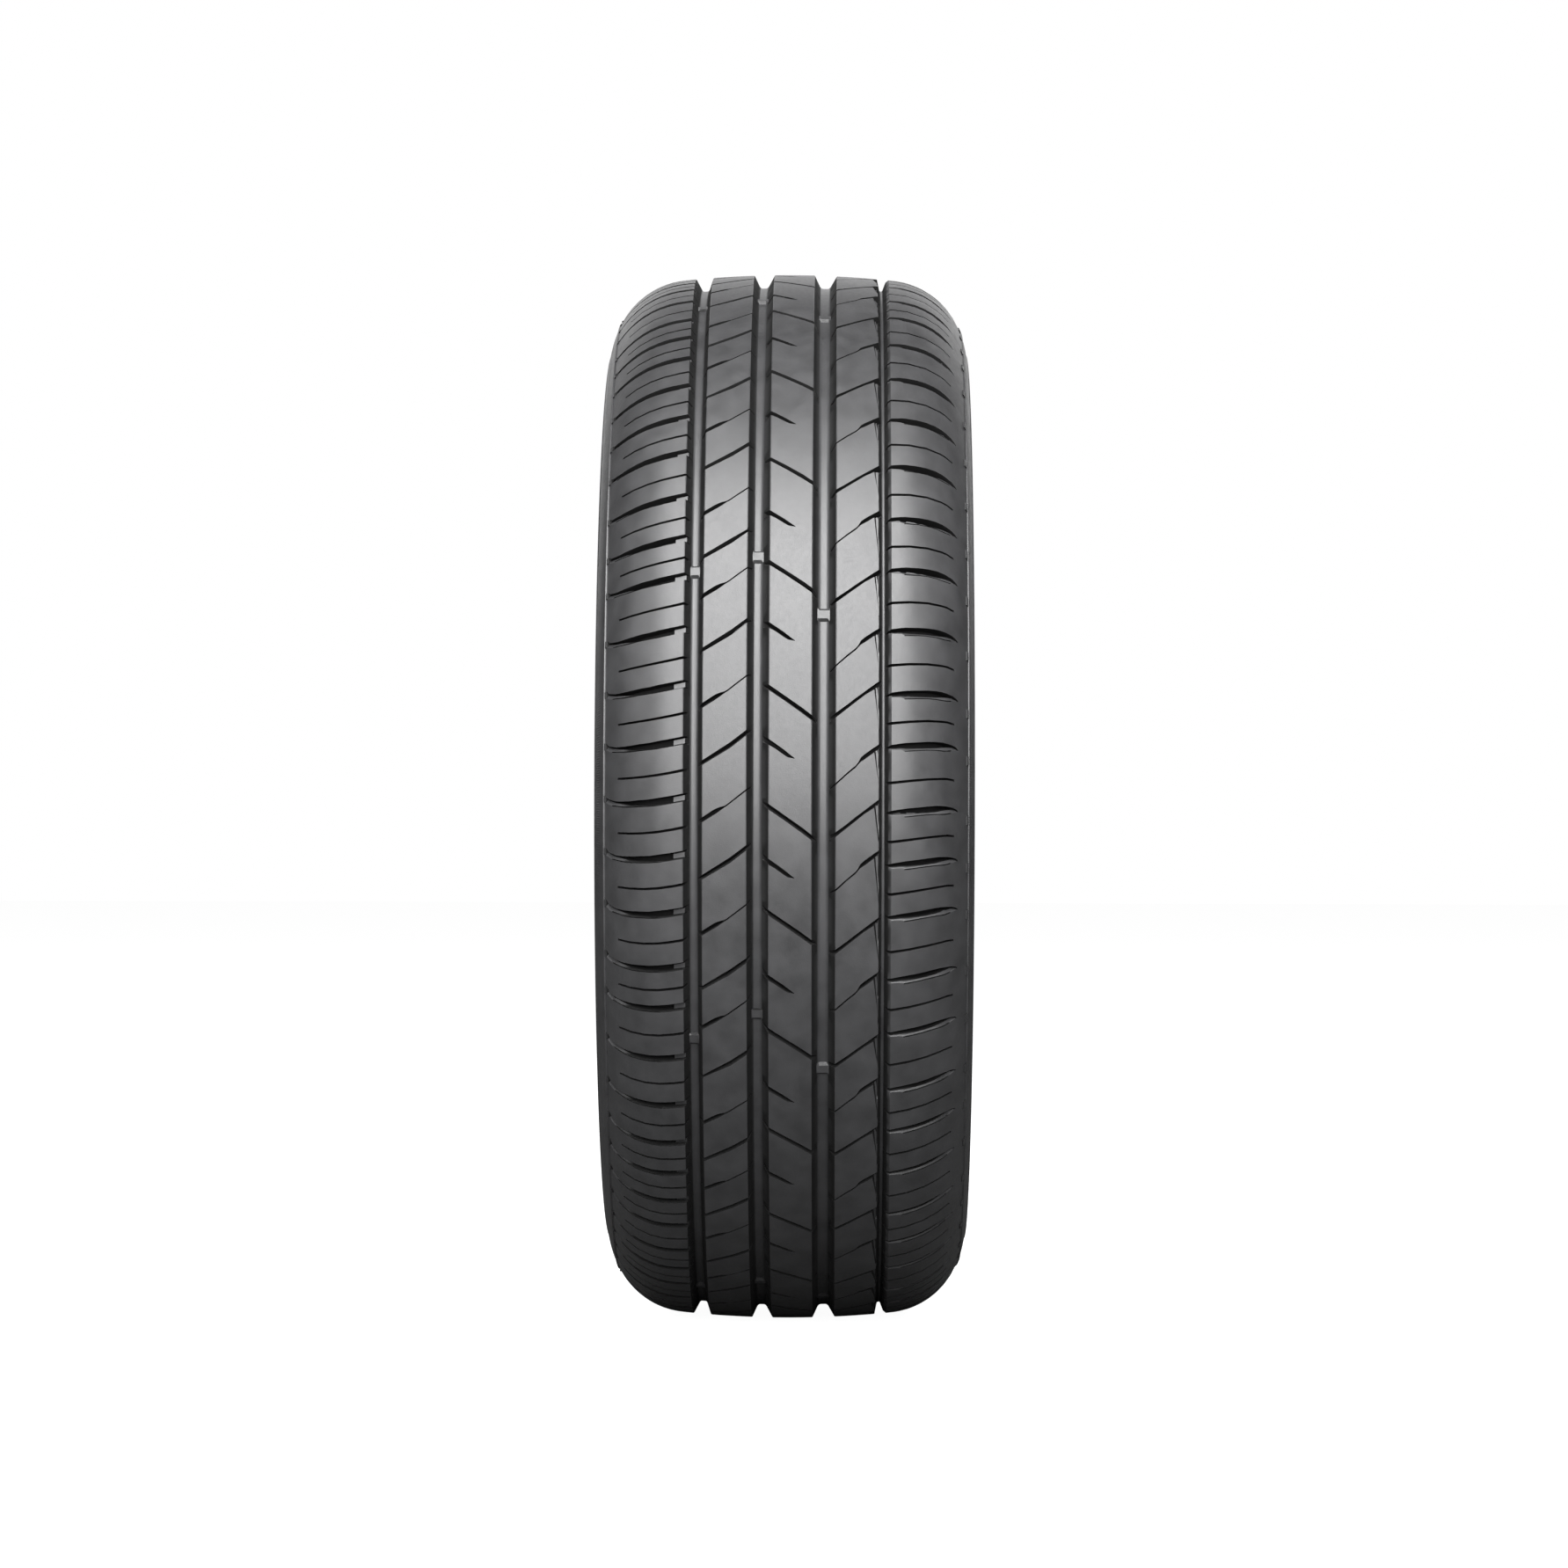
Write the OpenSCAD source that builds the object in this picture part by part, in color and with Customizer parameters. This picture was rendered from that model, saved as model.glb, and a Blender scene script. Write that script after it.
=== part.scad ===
// Passenger car tyre with an asymmetric tread, standing upright.
// The wheel centre is the origin, the spin axis is Y and Z points up.

/* [Tyre] */
// Outer diameter over the crown of the tread
tyre_d = 632; // [624:1:640]
// Section width at the widest part of the sidewalls
section_w = 214; // [210:1:220]
// Diameter of the two bead seats
seat_d = 405.6; // [402:0.2:408]

/* [Section] */
// Radius of the crown across the tread
crown_r = 600; // [450:10:900]
// Radius of the shoulder, as a share of the section height
shoulder_share = 0.424; // [0.4:0.002:0.44]
// Slope at which the shoulder runs into the sidewall
shoulder_slope = 58.5; // [56:0.5:61]
// Radius of the upper sidewall, as a share of the section height
upper_share = 0.486; // [0.46:0.002:0.51]
// How far the sidewall stands out past the bead, as a share of the section height
bulge_share = 0.203; // [0.17:0.001:0.23]
// Radius of the hollow that the rim flange sits in, as a share of the section height
flange_share = 0.124; // [0.08:0.002:0.16]
// Radius of the bead heel, as a share of the section height
heel_share = 0.062; // [0.04:0.002:0.08]

/* [Carcass] */
// Thickness from the crown to the inner liner
crown_t = 15.4; // [14:0.1:18]
// Thickness at the shoulder
shoulder_t = 15; // [12:0.1:17]
// Thickness of the sidewall
wall_t = 6.6; // [5:0.1:9]
// Thickness where the sidewall runs into the bead
apex_t = 11; // [8:0.1:13]
// Length of the bead base from the outer face to the toe
base_w = 20; // [17:0.5:23]
// Height and width of the bevel at the toe
toe_bevel = 2; // [1:0.5:4]
// Height of the toe above the seat
toe_h = 6; // [5:0.5:9]

/* [Grooves] */
// Depth of the three main grooves
groove_depth = 7.8; // [6:0.1:8.5]
// Depth of the narrow groove
narrow_depth = 7.1; // [5:0.1:8]
// Centre of the first main groove, as a share of the way to the sidewall
groove_1_at = -0.4785; // [-0.49:0.0005:-0.46]
// Width of the first main groove
groove_1_w = 11.4; // [9:0.1:13]
// Centre of the second main groove, as a share of the way to the sidewall
groove_2_at = -0.142; // [-0.155:0.001:-0.125]
// Width of the second main groove
groove_2_w = 13.2; // [11:0.1:15]
// Centre of the third main groove, as a share of the way to the sidewall
groove_3_at = 0.202; // [0.185:0.001:0.215]
// Width of the third main groove
groove_3_w = 13.6; // [11:0.1:15]
// Centre of the narrow groove, as a share of the way to the sidewall
narrow_at = 0.512; // [0.5:0.001:0.525]
// Width of the narrow groove
narrow_w = 5.5; // [4:0.1:7]
// Run of each sloping wall of a main groove
wall_run = 3.6; // [2:0.1:4]
// Run of each sloping wall of the narrow groove
narrow_run = 1.7; // [1:0.1:1.9]
// Share of a groove's floor that each of its rounded corners takes up
corner_share = 0.24; // [0.1:0.01:0.45]
// Width of the bevel on the shoulder edge of the narrow groove
narrow_bevel = 1.7; // [0.5:0.1:3]

/* [Wear bars] */
// Number of wear bars round each main groove
bars = 8; // [4:1:12]
// Height of a wear bar above the groove floor
bar_h = 1.6; // [1:0.1:2.5]
// Length of a wear bar along the groove
bar_len = 5.5; // [3:0.5:10]
// Pitches by which the bars of the second groove are set on from those of the first
bar_shift_2 = 8.3; // [8:0.1:8.6]
// Pitches by which the bars of the third groove are set on from those of the first
bar_shift_3 = 0.9; // [0.6:0.1:1.2]

/* [Pitches] */
// Short pitch of the pattern
short_pitch = 25; // [23:0.1:27]
// Medium pitch of the pattern
medium_pitch = 28.6; // [27.5:0.1:30]
// Long pitch of the pattern
long_pitch = 32.3; // [30.5:0.1:35]
// Turn of the first slot of the left side below the front
left_start = -69.2; // [-180:0.1:180]
// Turn of the first slot of the right side below the front
right_start = -63.1; // [-180:0.1:180]

/* [Rib slots] */
// Depth of the slots in the ribs
slot_depth = 6; // [4:0.1:7]
// Width of the narrow slots
slot_w = 1.2; // [0.8:0.1:2]
// Width of the wide slots
wide_slot_w = 2.3; // [1.8:0.1:3]
// Width of the sipes
sipe_w = 0.6; // [0.5:0.1:0.8]
// Share of the way across a rib that the wide end of a slot takes up before it narrows to a sipe
wide_share = 0.38; // [0.3:0.01:0.45]
// Share of the way across the third rib that its blind slots reach
blind_share = 0.6; // [0.55:0.01:0.75]
// Width of the tapering slots of the fourth rib at their narrow end, as a share of the wide slots
taper_share = 0.7; // [0.5:0.05:0.9]
// Slant of the slots of the second rib
rib_2_slant = -37.2; // [-42:0.2:-32]
// Turn of the slots of the second rib from those of the left shoulder
rib_2_turn = 2.3; // [0:0.1:4]
// Slant of the slots of the third rib
rib_3_slant = 38.2; // [32:0.2:44]
// Turn of the slots of the third rib from those of the right shoulder
rib_3_turn = -0.8; // [-3:0.1:2]
// Slant of the slots of the fourth rib
rib_4_slant = -44.8; // [-50:0.2:-40]
// Turn of the slots of the fourth rib from those of the right shoulder
rib_4_turn = -3; // [-5:0.1:-1]
// Width of the wedges that are cut along the right edge of the fourth rib
wedge_w = 2.4; // [1.5:0.1:3]
// Depth of those wedges
wedge_depth = 3; // [2.5:0.1:4]

/* [Shoulder slots] */
// Width of the shoulder slots
shoulder_slot_w = 3.1; // [2:0.1:4]
// Depth of the shoulder slots
shoulder_slot_depth = 6; // [4:0.1:7]
// Depth of the shoulder slots over the tie bar at the groove
tie_depth = 2.5; // [1:0.1:3.5]
// Length of the tie bar
tie_len = 6; // [3:0.5:9]
// Slope of the shoulder where its slots end
slot_end_slope = 55.5; // [50:0.5:55.5]
// Depth of the sipes between the shoulder slots
sipe_depth = 5; // [3:0.1:6.5]
// Slope of the shoulder where its sipes end
sipe_end_slope = 48.5; // [40:0.5:50]
// Place of the left sipes on the way from one slot to the next
left_sipe_at = 0.5; // [0.4:0.01:0.6]
// Place of the right sipes on the way from one slot to the next
right_sipe_at = 0.53; // [0.4:0.01:0.6]
// How far the left slots turn down on their way out
left_drop = 4.6; // [0:0.2:6]
// Height of the arch of the right slots
right_arch = 1.25; // [0:0.05:2]

/* [Sidewall] */
// Width of the mould ridge and the rings on the sidewall
ring_w = 1.2; // [0.6:0.1:2]
// Width of their tops, as a share of the width at the foot
ring_top = 0.6; // [0.3:0.05:0.8]
// Height of the mould ridge and the rings on the sidewall
ring_h = 0.6; // [0.3:0.1:1]
// Slope of the wall at the mould ridge
mould_slope = 63.5; // [63:0.5:70]
// Slope of the wall at the ring next to the widest part
ring_slope = 84; // [78:0.5:88]
// Slope from the ring over the rim flange to the end of the wall
flange_ring_back = 12; // [8:0.5:16]

/* [Hidden] */
$fn = 96;

// How far the straight pieces of an arc in the section may lie inside it
chord_gap = 0.22;
// Overlap of one solid with another where they join
lap = 0.5;
// Width of a slot at a pointed end
tip_w = 0.2;
// Turn from the widest part of the wall over which it stays thin to each side
thin_span = 10;
// Angle at which the revolved solids start: a few facets past the level plane
seam_turn = 5 * 360 / $fn;
// Reach of the cutters past the surface that they cut
clear = 4;

tyre_r = tyre_d / 2;
seat_r = seat_d / 2;
wall_half = section_w / 2;
section_h = tyre_r - seat_r;
shoulder_r = shoulder_share * section_h;
upper_r = upper_share * section_h;
bulge = bulge_share * section_h;
flange_r = flange_share * section_h;
heel_r = heel_share * section_h;
bead_half = wall_half - bulge;

function normal(a) = [sin(a), cos(a)];
// Slopes at the points of an arc that turns from the slope a to the slope b
function arc_angles(r, a, b) =
    let (n = ceil(abs(b - a) / (2 * acos(1 - chord_gap / abs(r)))))
    [for (i = [0:n]) a + (b - a) * i / n];
// Points of the same arc about c
function arc(c, r, a, b) = [for (t = arc_angles(r, a, b)) c + r * normal(t)];
function reversed(list) = [for (i = [len(list) - 1:-1:0]) list[i]];
function mirrored(list) = [for (p = reversed(list)) [-p[0], p[1]]];

// Outer line of the section as four arcs that run into each other: crown, shoulder, upper and lower wall
shoulder_out = wall_half - upper_r * (1 - sin(shoulder_slope));
crown_half = (shoulder_out - shoulder_r * sin(shoulder_slope)) / (1 - shoulder_r / crown_r);
crown_slope = asin(crown_half / crown_r);
crown_c = [0, tyre_r - crown_r];
shoulder_c = crown_c + (crown_r - shoulder_r) * normal(crown_slope);
upper_c = shoulder_c + (shoulder_r - upper_r) * normal(shoulder_slope);
// The lower wall and the flange hollow make an S down to the upright face of the bead
face_top = seat_r + heel_r;
s_turn = 2 * atan(bulge / (upper_c[1] - face_top));
lower_r = (upper_c[1] - face_top) / sin(s_turn) - flange_r;
lower_c = [wall_half - lower_r, upper_c[1]];
flange_c = [bead_half + flange_r, face_top];
heel_c = [bead_half - heel_r, face_top];

// Rubber thickness behind the outer line at the slope a
function thickness(a) = lookup(a, [
    [0, crown_t], [crown_slope, crown_t], [(crown_slope + shoulder_slope) / 2, shoulder_t],
    [90 - thin_span, wall_t], [90 + thin_span, wall_t], [90 + s_turn, apex_t]
]);

wall_line = concat(
    arc(crown_c, crown_r, 0, crown_slope),
    arc(shoulder_c, shoulder_r, crown_slope, shoulder_slope),
    arc(upper_c, upper_r, shoulder_slope, 90),
    arc(lower_c, lower_r, 90, 90 + s_turn)
);
wall_angles = concat(
    arc_angles(crown_r, 0, crown_slope),
    arc_angles(shoulder_r, crown_slope, shoulder_slope),
    arc_angles(upper_r, shoulder_slope, 90),
    arc_angles(lower_r, 90, 90 + s_turn)
);
bead_line = concat(
    arc(flange_c, -flange_r, 90 + s_turn, 90),
    arc(heel_c, heel_r, 90, 180),
    [
        [bead_half - base_w + toe_bevel, seat_r],
        [bead_half - base_w, seat_r + toe_bevel],
        [bead_half - base_w, seat_r + toe_h]
    ]
);
inner_line = [for (i = [0:len(wall_line) - 1])
    wall_line[i] - thickness(wall_angles[i]) * normal(wall_angles[i])];

// A point that follows the one before it too closely is left out
function spaced(list) = [for (i = [0:len(list) - 1])
    if (i == 0 || norm(list[i] - list[i - 1]) > 0.01) list[i]];
half_section = spaced(concat(wall_line, bead_line, reversed(inner_line)));

// Radius of the tread line at the offset u from the centre line, out to the shoulder
function tread_r(u) = abs(u) < crown_half
    ? crown_c[1] + sqrt(crown_r ^ 2 - u ^ 2)
    : shoulder_c[1] + sqrt(shoulder_r ^ 2 - (abs(u) - shoulder_c[0]) ^ 2);
// Offset at which the shoulder has the slope a
function shoulder_u(a) = shoulder_c[0] + shoulder_r * sin(a);

// Polygon in the plane of the section, from points given as offset and radius
module section(points) polygon([for (p = points) [p[1], p[0]]]);
// Full turn of a section about the axis
module revolved() rotate([0, 0, seam_turn]) rotate_extrude() children();

// Each groove as its left edge, right edge, depth and the run of its walls
function groove_at(share, w, depth, run) =
    [share * wall_half - w / 2, share * wall_half + w / 2, depth, run];
groove_1 = groove_at(groove_1_at, groove_1_w, groove_depth, wall_run);
groove_2 = groove_at(groove_2_at, groove_2_w, groove_depth, wall_run);
groove_3 = groove_at(groove_3_at, groove_3_w, groove_depth, wall_run);
narrow = groove_at(narrow_at, narrow_w, narrow_depth, narrow_run);
// Radius of the tread at the middle of a groove
function groove_r(g) = tread_r((g[0] + g[1]) / 2);

// Points of an arc in the corner b between the points a and c, which starts at the length l from b
function fillet(a, b, c, l, n = 4) =
    let (
        to_a = (a - b) / norm(a - b),
        to_c = (c - b) / norm(c - b),
        half = acos(to_a * to_c) / 2,
        r = l * tan(half),
        centre = b + (to_a + to_c) / norm(to_a + to_c) * r / sin(half),
        start = b + to_a * l - centre,
        end = b + to_c * l - centre
    )
    [for (i = [0:n]) let (v = start * (n - i) + end * i) centre + r * v / norm(v)];

// Section of a groove with sloping walls and rounded floor corners
module groove(g) {
    top = groove_r(g);
    left = [g[0], top];
    right = [g[1], top];
    floor_left = [g[0] + g[3], top - g[2]];
    floor_right = [g[1] - g[3], top - g[2]];
    corner = corner_share * (floor_right[0] - floor_left[0]);
    section(concat(
        [[right[0], top + clear], [left[0], top + clear], left],
        fillet(left, floor_left, floor_right, corner),
        fillet(floor_left, floor_right, right, corner),
        [right]
    ));
}

module grooves() {
    for (g = [groove_1, groove_2, groove_3, narrow]) groove(g);
    edge = narrow[1];
    section([
        [edge - lap, tread_r(edge) + clear],
        [edge - lap, tread_r(edge) - narrow_bevel - lap],
        [edge + narrow_bevel, tread_r(edge + narrow_bevel)],
        [edge + narrow_bevel, tread_r(edge) + clear]
    ]);
}

// Raised ring on the wall where its slope is a, widest at its foot
module ring(c, r, a)
    section([for (s = [[-1, -lap], [-ring_top, ring_h], [ring_top, ring_h], [1, -lap]])
        c + (r + s[1]) * normal(a) + s[0] * ring_w / 2 * [cos(a), -sin(a)]]);

module rings() {
    ring(upper_c, upper_r, mould_slope);
    ring(upper_c, upper_r, ring_slope);
    ring(lower_c, lower_r, 90 + s_turn - flange_ring_back);
}

module carcass() {
    revolved()
        difference() {
            union() {
                section(concat(half_section, mirrored(half_section)));
                rings();
                mirror([0, 1]) rings();
            }
            grooves();
        }
}

// Pitch sequence of the rows on each side, from the first slot down: short, medium and long pitches
left_sequence = str("LSSMMMLMSLLLLLLLSLLMSSSMSS",
    "MLLMSSLMMLSSMLLLMSSMLMSSLLMMSSLLLMMSSLMLSMSM");
right_sequence = str("LLLLLMLLSLSSLMLSMLSML", "SMMLLSSMLLMSLSMMLLSSMLMSSLLMMSLLMSMLS");

function pitch(c) = c == "S" ? short_pitch : c == "M" ? medium_pitch : long_pitch;
// Angles of the slots round the tyre, where the last pitch ends at the first slot
function slot_angles(sequence, start) =
    let (
        sums = [for (i = 0, s = 0; i <= len(sequence); s = s + pitch(sequence[i]), i = i + 1) s],
        full = sums[len(sequence)]
    )
    [for (s = sums) start + 360 * s / full];
left_angles = slot_angles(left_sequence, left_start);
right_angles = slot_angles(right_sequence, right_start);
// Angle at the place i of a row, which may lie between two slots
function between(angles, i) =
    let (k = floor(i) % (len(angles) - 1), part = i - floor(i))
    angles[k] * (1 - part) + angles[k + 1] * part;
// Angles of all the slots of a row, or of the sipes at the given share of the way to the next one
function row(angles, share = 0) = [for (i = [0:len(angles) - 2]) between(angles, i + share)];
// Angle that a length along the tread covers
function turn_of(length) = length / tyre_r * 180 / PI;

// Bar across the floor of a groove, from the given angle down
module bar(g, angle) {
    low = groove_r(g) - g[2];
    slope = g[3] / g[2];
    rotate([0, 0, angle])
        rotate_extrude(angle = turn_of(bar_len))
            section([
                [g[0] + g[3] - lap, low - lap],
                [g[1] - g[3] + lap, low - lap],
                [g[1] - g[3] + lap + slope * bar_h, low + bar_h],
                [g[0] + g[3] - lap - slope * bar_h, low + bar_h]
            ]);
}

module wear_bars() {
    pitches = len(left_sequence) / bars;
    for (i = [0:bars - 1]) {
        bar(groove_1, between(left_angles, pitches * i));
        bar(groove_2, between(left_angles, pitches * i + bar_shift_2));
        bar(groove_3, between(left_angles, pitches * i + bar_shift_3));
    }
}

// Cutter through the tread: points give the offset u and the way s down the tread from the slot's angle
module cutter(points, angle, low)
    rotate([0, 0, angle])
        translate([low, 0, 0])
            rotate([90, 0, 90])
                linear_extrude(tyre_r + clear - low)
                    polygon([for (p = points) [p[1], p[0]]]);

// Outline of a slot along a centre line, given as points with the width there
function along(line) = concat(
    [for (p = line) [p[0], p[1] - p[2] / 2]],
    [for (p = reversed(line)) [p[0], p[1] + p[2] / 2]]
);

// Outline of a slot across the rib between two grooves: stops give a share of the way and the width there
function slanted(left, right, slant, stops) =
    let (w = right[0] - left[1])
    along([for (s = stops)
        let (u = s[0] * w + (s[0] <= 0 ? -left[3] : s[0] >= 1 ? right[3] : 0))
        [left[1] + u, tan(slant) * u, s[1] / cos(slant)]]);

// Row of slots between two grooves: even and odd pitches take turns with the two kinds of stops
module slot_row(left, right, angles, slant, even, odd) {
    low = min(tread_r(left[1]), tread_r(right[0])) - slot_depth;
    for (i = [0:len(angles) - 1])
        cutter(slanted(left, right, slant, i % 2 == 0 ? even : odd), angles[i], low);
}

module rib_slots() {
    thin = [[0, slot_w], [1, slot_w]];
    wide_then_sipe = [[0, wide_slot_w], [wide_share, wide_slot_w], [0.5, sipe_w], [1, sipe_w]];
    sipe_then_wide = [[0, sipe_w], [0.5, sipe_w], [1 - wide_share, wide_slot_w], [1, wide_slot_w]];
    tapering = [[0, taper_share * wide_slot_w], [1, wide_slot_w]];
    blind = [[0, wide_slot_w], [0.5, wide_slot_w], [blind_share, tip_w]];
    slot_row(groove_1, groove_2, [for (a = row(left_angles)) a + rib_2_turn], rib_2_slant,
        thin, wide_then_sipe);
    slot_row(groove_2, groove_3, [for (a = row(right_angles)) a + rib_3_turn], rib_3_slant,
        thin, blind);
    slot_row(groove_3, narrow, [for (a = row(right_angles)) a + rib_4_turn], rib_4_slant,
        sipe_then_wide, tapering);
}

// Wedges along the right edge of the fourth rib, from inside each slot to nothing at the next
module edge_wedges() {
    edge = narrow[0];
    exit = rib_4_turn + turn_of(tan(rib_4_slant) * (edge - groove_3[1]) + wedge_w / 2);
    for (i = [0:len(right_sequence) - 1]) {
        length = (right_angles[i + 1] - right_angles[i]) / turn_of(1);
        cutter([[edge - wedge_w, 0], [edge + narrow_run, 0], [edge + narrow_run, length], [edge, length]],
            right_angles[i] + exit, tread_r(edge) - wedge_depth);
    }
}

// Centre line of a shoulder slot: the left ones turn down on their way out, and the right ones are arched
function bend(side, t) = side < 0 ? left_drop * (1 - (1 - t) ^ 2) : -4 * right_arch * t * (1 - t);
function shoulder_line(side, edge, end, w, tip, n) =
    along([for (i = [0:n]) let (t = i / n, u = edge + (end - edge) * t)
        [side * u, bend(side, t), i < n ? w : tip]]);

// Ring of rubber from the given depth under the shoulder to the air, from the groove to the end
module shoulder_band(side, edge, end, depth, tie, n) {
    start = edge + tie_len;
    floor_line = [for (i = [0:n]) let (u = start + (end - start) * i / n)
        [side * u, tread_r(u) - depth * min(1, n - i)]];
    revolved()
        section(concat(
            [[side * (edge - clear), tyre_r + clear], [side * (edge - clear), tread_r(edge) - tie]],
            [[side * start, tread_r(start) - tie]],
            floor_line,
            [[side * end, tyre_r + clear]]
        ));
}

// Row of slots from the edge of the outermost groove out over the shoulder, in n straight pieces
// over a floor of the given number of pieces
module shoulder_row(side, edge, angles, end_slope, w, tip, depth, tie, n, floors) {
    end = shoulder_u(end_slope);
    intersection() {
        shoulder_band(side, edge, end, depth, tie, floors);
        for (a = angles)
            cutter(shoulder_line(side, edge - clear / 2, end + lap, w, tip, n), a, tread_r(end) - clear);
    }
}

module shoulder_slots() {
    shoulder_row(-1, -groove_1[0], row(left_angles), slot_end_slope,
        shoulder_slot_w, sipe_w, shoulder_slot_depth, tie_depth, 3, 2);
    shoulder_row(1, narrow[1], row(right_angles), slot_end_slope,
        shoulder_slot_w, sipe_w, shoulder_slot_depth, tie_depth, 3, 2);
}

module shoulder_sipes() {
    shoulder_row(-1, -groove_1[0], row(left_angles, left_sipe_at), sipe_end_slope,
        sipe_w, sipe_w, sipe_depth, sipe_depth, 1, 2);
    shoulder_row(1, narrow[1], row(right_angles, right_sipe_at), sipe_end_slope,
        sipe_w, sipe_w, sipe_depth, sipe_depth, 1, 2);
}

module tyre() {
    color("#2e2e30")
        rotate([-90, 0, 0])
            difference() {
                union() {
                    carcass();
                    wear_bars();
                }
                rib_slots();
                edge_wedges();
                shoulder_slots();
                shoulder_sipes();
            }
}

tyre();
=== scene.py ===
"""Car tyre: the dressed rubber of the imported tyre, standing on a pale floor in soft studio light."""

import itertools
import math

import bmesh
import bpy
import numpy as np
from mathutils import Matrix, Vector
from mathutils.geometry import delaunay_2d_cdt


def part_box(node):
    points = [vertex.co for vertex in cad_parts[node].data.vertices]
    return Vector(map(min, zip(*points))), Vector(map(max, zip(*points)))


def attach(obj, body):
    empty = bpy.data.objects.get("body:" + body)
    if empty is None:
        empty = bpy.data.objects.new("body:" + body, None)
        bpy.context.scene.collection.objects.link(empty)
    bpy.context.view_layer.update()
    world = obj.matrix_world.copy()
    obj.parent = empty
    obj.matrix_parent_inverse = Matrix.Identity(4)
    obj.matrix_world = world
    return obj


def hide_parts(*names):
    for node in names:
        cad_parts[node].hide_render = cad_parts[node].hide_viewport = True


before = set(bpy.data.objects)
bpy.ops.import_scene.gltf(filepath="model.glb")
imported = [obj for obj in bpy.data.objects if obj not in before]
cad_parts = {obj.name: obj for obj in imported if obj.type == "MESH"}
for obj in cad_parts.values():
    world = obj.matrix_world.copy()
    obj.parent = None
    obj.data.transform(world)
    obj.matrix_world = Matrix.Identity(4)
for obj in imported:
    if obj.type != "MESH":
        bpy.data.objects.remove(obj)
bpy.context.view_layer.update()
CAD_LOW, CAD_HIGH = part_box("tyre")

MM = 0.001

# Section of the tyre, in millimetres and degrees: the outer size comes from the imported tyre
TYRE_R = (CAD_HIGH[2] - CAD_LOW[2]) / 2 / MM
WALL_HALF = 107.0
SEAT_R = 202.8
SECTION_H = TYRE_R - SEAT_R
CROWN_R = 600.0
SHOULDER_R = 0.424 * SECTION_H
SHOULDER_SLOPE = 58.5
UPPER_R = 0.486 * SECTION_H
BULGE = 0.203 * SECTION_H
FLANGE_R = 0.124 * SECTION_H
HEEL_R = 0.062 * SECTION_H
BEAD_HALF = WALL_HALF - BULGE
BASE_W = 20.0
TOE_BEVEL = 2.0
TOE_H = 6.0
CROWN_T = 15.4
SHOULDER_T = 15.0
WALL_T = 6.6
APEX_T = 11.0
THIN_SLOPES = (80, 100)

# Grooves: left edge, right edge, depth, run of the left wall and run of the right wall
GROOVES = (
    (-56.2, -45.4, 7.8, 3.4, 3.3),
    (-20.9, -8.4, 7.8, 3.4, 4.5),
    (15.4, 28.9, 7.8, 4.0, 4.2),
    (52.8, 58.3, 7.1, 2.2, 1.6),
)

# Rounding of the edges and of the floor corners, each with a point in between as shares of its size,
# and the bevel on the right edge of the narrow groove
EDGE_ROUND = 0.3
EDGE_SHAPE = (0.06, 0.9)
CORNER_SHARE = 0.24
CORNER_SHAPE = (0.3, 0.975)
NARROW_BEVEL = 1.5
NARROW_SHAPE = (0.15, 1.1)

# Thin groove beside the left mould ridge: offset, half its width and depth
LINE_GROOVE = (-100.35, 0.3, 0.5)

# Mould ridges: slope of the wall at the ridge, and where the tread ends before it
RIDGE_SLOPE = {-1: 63.0, 1: 69.0}
TREAD_END_SLOPE = {-1: 62.2, 1: 68.2}

# Slots in the ribs: depth, draft of a closed end, and the steps of the steep ones: ways in from the upper
# and the lower edge, depth, and the share of the slot's width that limits the ways in
SLOT_DEPTH = 6.0
RIB_END_DRAFT = 0.12
DEEP_STEPS = ((0.0, 0.0, 0.0), (0.08, 0.2, 0.5), (0.25, 0.6, SLOT_DEPTH))
DEEP_LIMITS = (0.0, 0.11, 0.22)

# Bevelled slots: depth of the bevels, the same limits, and width and draft of the core under them,
# which is longer down the tread than across the slot because the slots slant
BEVEL_DEPTH = 2.0
BEVEL_LIMITS = (0.0, 0.39, 0.42)
CORE_W = 0.8
CORE_SLANT = 1.22
CORE_DRAFT = 0.1

# Shoulder slots: draft of the closed ends, and ways in of the upper wall at each step down, with the share
# of the slot's width that limits each
END_DRAFT = 0.1
WALL_STEPS = ((0.0, 0.0), (0.07, 0.1), (0.14, 0.2), (0.3, 0.35))

# Ledge under a shoulder slot: depths of its edge and its floor, run of its edge with the share of its width
# that limits it, share of its width where the slot begins, and least width
LEDGE_STEP = 0.4
LEDGE_DEPTH = 1.1
LEDGE_RUN = 0.55
LEDGE_RUN_LIMIT = 0.5
LEDGE_FLOOR = 0.2
LEDGE_LEAST = 0.12

# Thin line along the ledge: ways up and down from the ledge's edge and depth, and the offsets of its ends
LINE_EDGES = ((0.47, 0.04, 0.0), (0.39, -0.04, 2.5))
LINE_RANGE = {-1: (-96.0, -69.0), 1: (67.0, 93.0)}

# Tie bars of the left shoulder slots: depth of the top, outer end, knees, gaps to the slot's two edges, and
# rim round the top
TIE_DEPTH = 2.2
TIE_END = 61.5
TIE_KNEES = (-60.0, -58.0)
TIE_TOP_GAP = 1.1
TIE_LOW_GAP = 0.45
TIE_RIM = 0.12

# Sipes of the shoulders: depth, width at the groove and at the end, and how much the floor is narrower
SIPE_DEPTH = 5.0
SIPE_W = (1.65, 1.2)
SIPE_DRAFT = 0.16
SIPE_SHARE = {-1: 0.53, 1: 0.52}

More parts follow.
